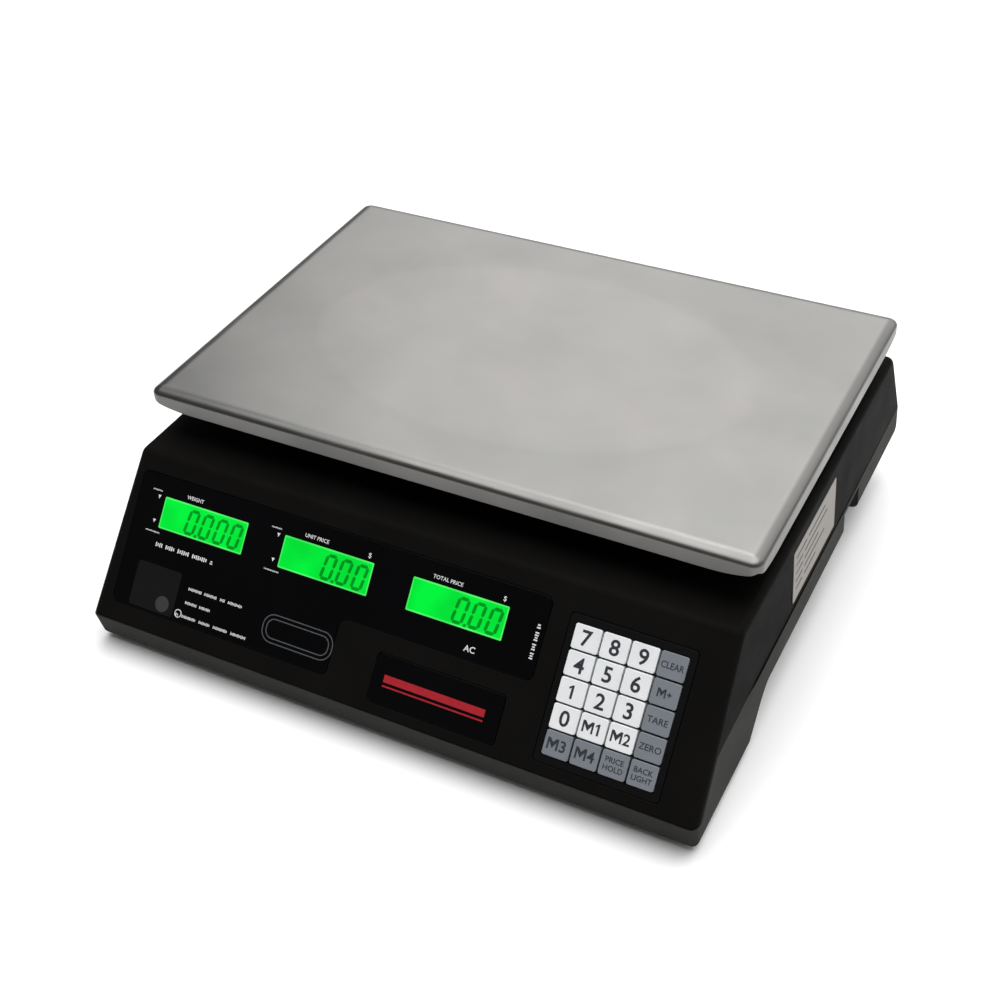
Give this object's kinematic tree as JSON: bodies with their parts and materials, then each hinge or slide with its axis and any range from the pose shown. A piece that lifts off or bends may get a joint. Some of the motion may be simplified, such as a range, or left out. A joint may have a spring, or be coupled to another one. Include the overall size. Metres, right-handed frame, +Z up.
{
  "type": "price computing counter scale",
  "caption": "Counter weighing scale that computes price: stainless platter over a black moulded housing, sloping panel with back-lit displays and a key pad, displays at the rear.",
  "frame": {"origin": "on the table, under the middle of the scale's footprint", "axes": "+Z up; +Y from the operator's panel at the front to the customer's displays at the rear; +X to the operator's right"},
  "size_m": [0.346, 0.325, 0.119],
  "materials": {
    "housing_black": "fine matt spark texture",
    "base_black": "fine matt spark texture",
    "window_black": "glossy printed window sheet",
    "stainless": "satin brushed stainless sheet",
    "cast_alloy": "as-cast light alloy",
    "aluminium": "machined",
    "zinc_plate": "bright zinc plate",
    "rubber": "matt",
    "key_white": "satin printed key",
    "key_grey": "satin printed key",
    "lcd_green": "back-lit display",
    "circuit_board": "green solder mask",
    "battery_grey": "moulded case",
    "core_steel": "varnished laminations",
    "black_plastic": "semi-gloss",
    "level_clear": "clear vial with green fluid",
    "label_white": "plain white label"
  },
  "bodies": {
    "housing": {"upper_housing": "housing_black", "lower_housing": "base_black", "battery_cover": "base_black", "front_display_window": "window_black", "rear_display_window": "window_black", "badge_plate": "window_black", "load_cell": "aluminium", "keypad_frame": "black_plastic", "keypad_board": "circuit_board", "front_display_board": "circuit_board", "rear_display_board": "circuit_board", "main_board": "circuit_board", "battery": "battery_grey", "transformer": "core_steel", "power_switch_body": "black_plastic", "power_inlet": "black_plastic", "spirit_level": "level_clear", "side_label": "label_white", "housing_screw_front_left": "zinc_plate", "housing_screw_rear_left": "zinc_plate", "housing_screw_front_right": "zinc_plate", "housing_screw_rear_right": "zinc_plate", "front_weight_display": "lcd_green", "rear_weight_display": "lcd_green", "front_unit_price_display": "lcd_green", "rear_unit_price_display": "lcd_green", "front_total_price_display": "lcd_green", "rear_total_price_display": "lcd_green"},
    "weighing_platform": {"platter_carrier": "cast_alloy", "carrier_post": "aluminium", "platter_cushion_front_left": "rubber", "platter_cushion_front_right": "rubber", "platter_cushion_rear_left": "rubber", "platter_cushion_rear_right": "rubber"},
    "platter": {"platter": "stainless"},
    "power_rocker": {"power_switch_rocker": "black_plastic"},
    "front_left_foot_body": {"front_left_foot": "rubber"},
    "front_right_foot_body": {"front_right_foot": "rubber"},
    "rear_left_foot_body": {"rear_left_foot": "rubber"},
    "rear_right_foot_body": {"rear_right_foot": "rubber"},
    "key_7_cap": {"key_7": "key_white"},
    "key_8_cap": {"key_8": "key_white"},
    "key_9_cap": {"key_9": "key_white"},
    "key_clear_cap": {"key_clear": "key_grey"},
    "key_4_cap": {"key_4": "key_white"},
    "key_5_cap": {"key_5": "key_white"},
    "key_6_cap": {"key_6": "key_white"},
    "key_add_cap": {"key_add": "key_grey"},
    "key_1_cap": {"key_1": "key_white"},
    "key_2_cap": {"key_2": "key_white"},
    "key_3_cap": {"key_3": "key_white"},
    "key_tare_cap": {"key_tare": "key_grey"},
    "key_0_cap": {"key_0": "key_white"},
    "key_memory_1_cap": {"key_memory_1": "key_white"},
    "key_memory_2_cap": {"key_memory_2": "key_white"},
    "key_zero_cap": {"key_zero": "key_grey"},
    "key_memory_3_cap": {"key_memory_3": "key_grey"},
    "key_memory_4_cap": {"key_memory_4": "key_grey"},
    "key_price_hold_cap": {"key_price_hold": "key_grey"},
    "key_light_cap": {"key_light": "key_grey"}
  },
  "joints": [
    {"name": "platform_travel", "type": "slide", "parent": "housing", "child": "weighing_platform", "axis": [0, 0, -1], "range_m": [0, 0.0005], "stiffness_N_per_m": 150000, "deforming": ["load_cell"]},
    {"name": "platter_lift", "type": "slide", "parent": "weighing_platform", "child": "platter", "axis": [0, 0, 1], "range_m": [0, 0.06]},
    {"name": "power_rocker_tilt", "type": "hinge", "parent": "housing", "child": "power_rocker", "pos_m": [0.1598, 0.069, 0.024], "axis": [0, 0, 1], "range_deg": [-16, 0]},
    {"name": "front_left_foot_turn", "type": "hinge", "parent": "housing", "child": "front_left_foot_body", "pos_m": [-0.138, -0.118, 0], "axis": [0, 0, 1], "continuous": true},
    {"name": "front_right_foot_turn", "type": "hinge", "parent": "housing", "child": "front_right_foot_body", "pos_m": [0.138, -0.118, 0], "axis": [0, 0, 1], "continuous": true},
    {"name": "rear_left_foot_turn", "type": "hinge", "parent": "housing", "child": "rear_left_foot_body", "pos_m": [-0.138, 0.122, 0], "axis": [0, 0, 1], "continuous": true},
    {"name": "rear_right_foot_turn", "type": "hinge", "parent": "housing", "child": "rear_right_foot_body", "pos_m": [0.138, 0.122, 0], "axis": [0, 0, 1], "continuous": true},
    {"name": "key_7_press", "type": "slide", "parent": "housing", "child": "key_7_cap", "axis": [0, 0.7673, -0.6412], "range_m": [0, 0.0006], "stiffness_N_per_m": 1500, "springref_m": -0.0005},
    {"name": "key_8_press", "type": "slide", "parent": "housing", "child": "key_8_cap", "axis": [0, 0.7673, -0.6412], "range_m": [0, 0.0006], "stiffness_N_per_m": 1500, "springref_m": -0.0005},
    {"name": "key_9_press", "type": "slide", "parent": "housing", "child": "key_9_cap", "axis": [0, 0.7673, -0.6412], "range_m": [0, 0.0006], "stiffness_N_per_m": 1500, "springref_m": -0.0005},
    {"name": "key_clear_press", "type": "slide", "parent": "housing", "child": "key_clear_cap", "axis": [0, 0.7673, -0.6412], "range_m": [0, 0.0006], "stiffness_N_per_m": 1500, "springref_m": -0.0005},
    {"name": "key_4_press", "type": "slide", "parent": "housing", "child": "key_4_cap", "axis": [0, 0.7673, -0.6412], "range_m": [0, 0.0006], "stiffness_N_per_m": 1500, "springref_m": -0.0005},
    {"name": "key_5_press", "type": "slide", "parent": "housing", "child": "key_5_cap", "axis": [0, 0.7673, -0.6412], "range_m": [0, 0.0006], "stiffness_N_per_m": 1500, "springref_m": -0.0005},
    {"name": "key_6_press", "type": "slide", "parent": "housing", "child": "key_6_cap", "axis": [0, 0.7673, -0.6412], "range_m": [0, 0.0006], "stiffness_N_per_m": 1500, "springref_m": -0.0005},
    {"name": "key_add_press", "type": "slide", "parent": "housing", "child": "key_add_cap", "axis": [0, 0.7673, -0.6412], "range_m": [0, 0.0006], "stiffness_N_per_m": 1500, "springref_m": -0.0005},
    {"name": "key_1_press", "type": "slide", "parent": "housing", "child": "key_1_cap", "axis": [0, 0.7673, -0.6412], "range_m": [0, 0.0006], "stiffness_N_per_m": 1500, "springref_m": -0.0005},
    {"name": "key_2_press", "type": "slide", "parent": "housing", "child": "key_2_cap", "axis": [0, 0.7673, -0.6412], "range_m": [0, 0.0006], "stiffness_N_per_m": 1500, "springref_m": -0.0005},
    {"name": "key_3_press", "type": "slide", "parent": "housing", "child": "key_3_cap", "axis": [0, 0.7673, -0.6412], "range_m": [0, 0.0006], "stiffness_N_per_m": 1500, "springref_m": -0.0005},
    {"name": "key_tare_press", "type": "slide", "parent": "housing", "child": "key_tare_cap", "axis": [0, 0.7673, -0.6412], "range_m": [0, 0.0006], "stiffness_N_per_m": 1500, "springref_m": -0.0005},
    {"name": "key_0_press", "type": "slide", "parent": "housing", "child": "key_0_cap", "axis": [0, 0.7673, -0.6412], "range_m": [0, 0.0006], "stiffness_N_per_m": 1500, "springref_m": -0.0005},
    {"name": "key_memory_1_press", "type": "slide", "parent": "housing", "child": "key_memory_1_cap", "axis": [0, 0.7673, -0.6412], "range_m": [0, 0.0006], "stiffness_N_per_m": 1500, "springref_m": -0.0005},
    {"name": "key_memory_2_press", "type": "slide", "parent": "housing", "child": "key_memory_2_cap", "axis": [0, 0.7673, -0.6412], "range_m": [0, 0.0006], "stiffness_N_per_m": 1500, "springref_m": -0.0005},
    {"name": "key_zero_press", "type": "slide", "parent": "housing", "child": "key_zero_cap", "axis": [0, 0.7673, -0.6412], "range_m": [0, 0.0006], "stiffness_N_per_m": 1500, "springref_m": -0.0005},
    {"name": "key_memory_3_press", "type": "slide", "parent": "housing", "child": "key_memory_3_cap", "axis": [0, 0.7673, -0.6412], "range_m": [0, 0.0006], "stiffness_N_per_m": 1500, "springref_m": -0.0005},
    {"name": "key_memory_4_press", "type": "slide", "parent": "housing", "child": "key_memory_4_cap", "axis": [0, 0.7673, -0.6412], "range_m": [0, 0.0006], "stiffness_N_per_m": 1500, "springref_m": -0.0005},
    {"name": "key_price_hold_press", "type": "slide", "parent": "housing", "child": "key_price_hold_cap", "axis": [0, 0.7673, -0.6412], "range_m": [0, 0.0006], "stiffness_N_per_m": 1500, "springref_m": -0.0005},
    {"name": "key_light_press", "type": "slide", "parent": "housing", "child": "key_light_cap", "axis": [0, 0.7673, -0.6412], "range_m": [0, 0.0006], "stiffness_N_per_m": 1500, "springref_m": -0.0005}
  ]
}
